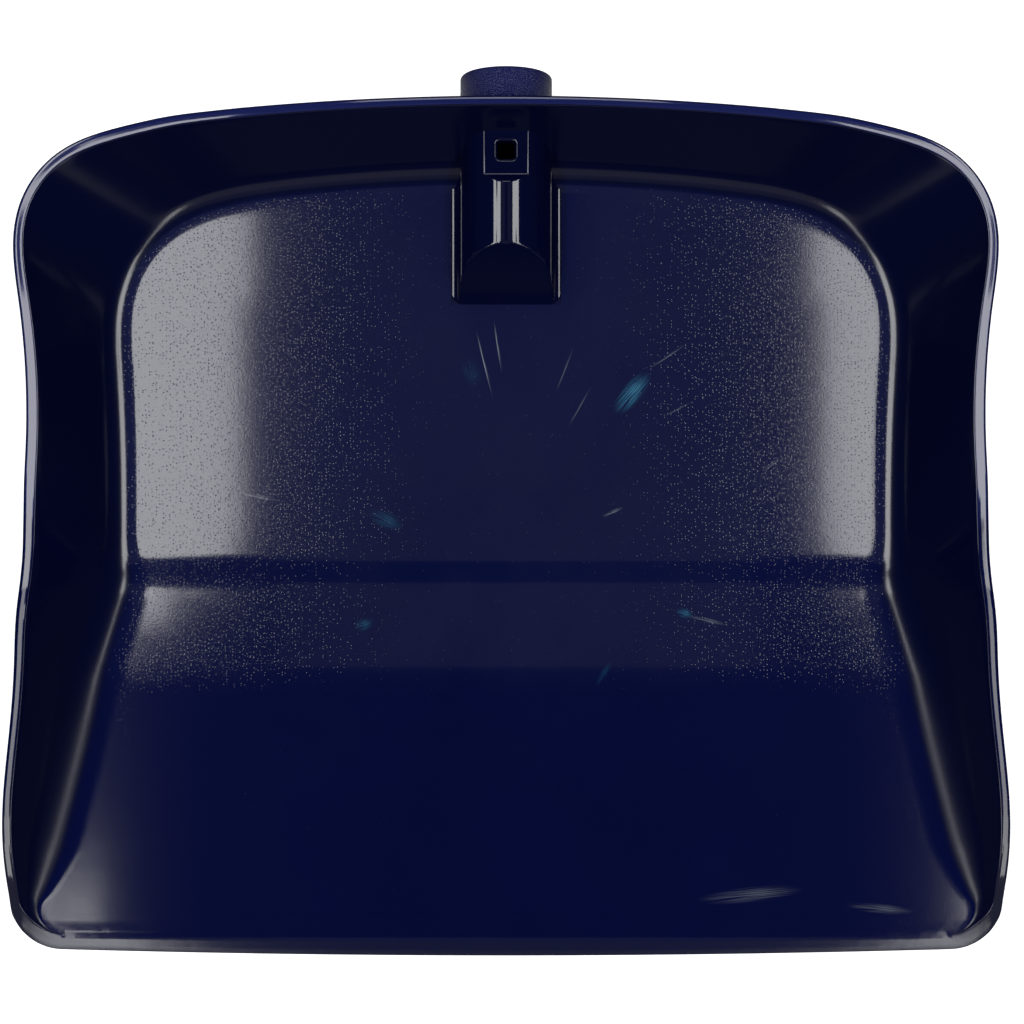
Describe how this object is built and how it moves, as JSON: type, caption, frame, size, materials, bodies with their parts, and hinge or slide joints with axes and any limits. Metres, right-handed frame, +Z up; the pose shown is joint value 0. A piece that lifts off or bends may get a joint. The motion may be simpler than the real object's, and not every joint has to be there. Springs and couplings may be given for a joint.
{
  "type": "dustpan",
  "caption": "Shallow flared dustpan with leaning walls, a creased floor falling to a bevelled lip, and a half-round rear socket that takes a push-in handle.",
  "frame": {"origin": "on the ground, under the middle of the part's width and length", "axes": "+Z up from the ground, +Y from the front lip to the handle socket at the back, +X to the right seen from the mouth"},
  "size_m": [0.347, 0.3064, 0.0434],
  "materials": {
    "gloss_navy": "glossy moulded, fine orange-peel on the floor",
    "matte_navy": "matte moulded, fine grain"
  },
  "bodies": {
    "root": {"pan_shell": "gloss_navy", "socket_hood": "gloss_navy", "handle_sleeve": "matte_navy"}
  },
  "joints": []
}
